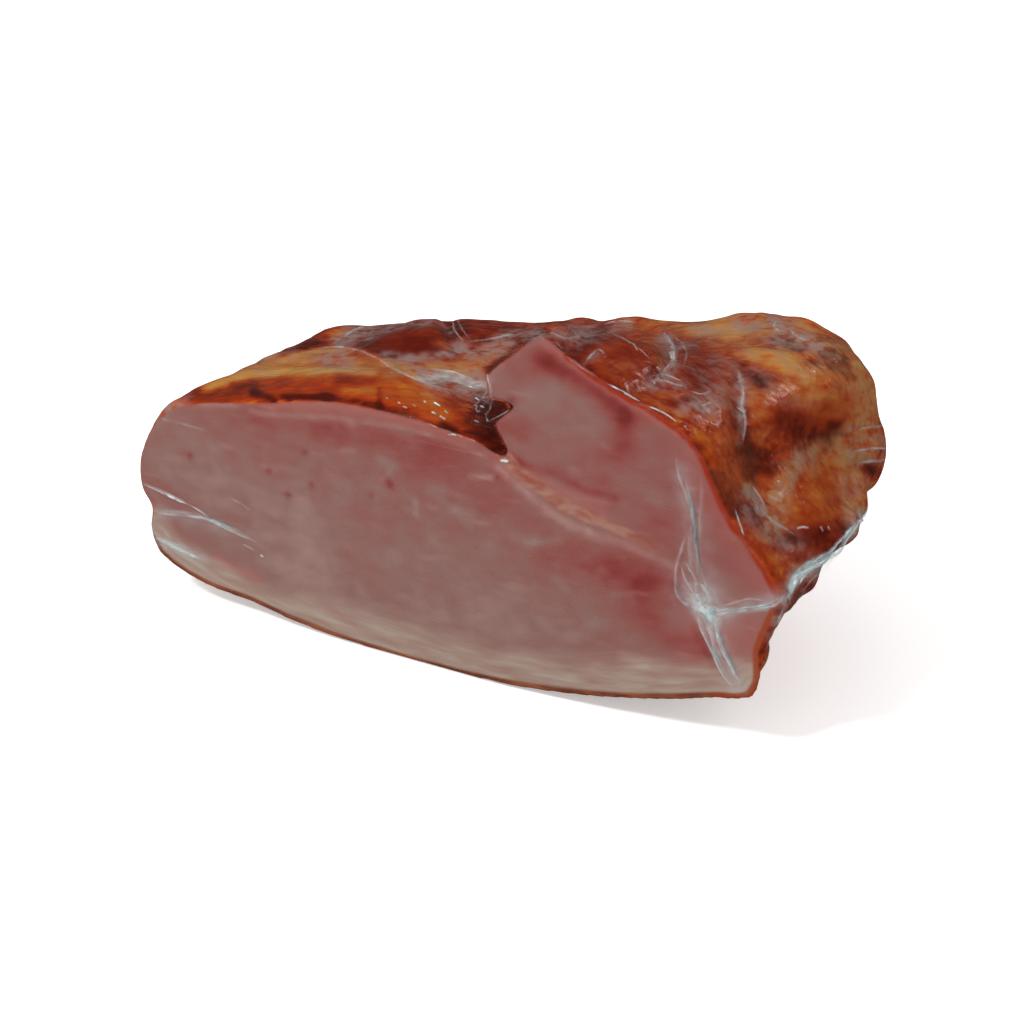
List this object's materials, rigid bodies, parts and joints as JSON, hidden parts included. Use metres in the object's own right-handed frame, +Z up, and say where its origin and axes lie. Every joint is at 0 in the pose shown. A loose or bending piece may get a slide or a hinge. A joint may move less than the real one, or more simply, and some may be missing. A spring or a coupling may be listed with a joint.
{
  "type": "smoked ham",
  "caption": "Half a boneless smoked leg ham, cut straight across, in a tight clear vacuum bag that folds along its lower flank.",
  "frame": {"origin": "middle of the bounding box at the surface that the ham lies on", "axes": "+X along the long side of the cut face, to the right as seen from in front; -Y out of the cut face; +Z up"},
  "size_m": [0.2308, 0.123, 0.1195],
  "materials": {
    "ham": "moist meat, with fat, rind and a smoked outside",
    "film": "clear glossy plastic film with pressed folds"
  },
  "bodies": {
    "root": {"packed_ham": "ham"}
  },
  "joints": []
}
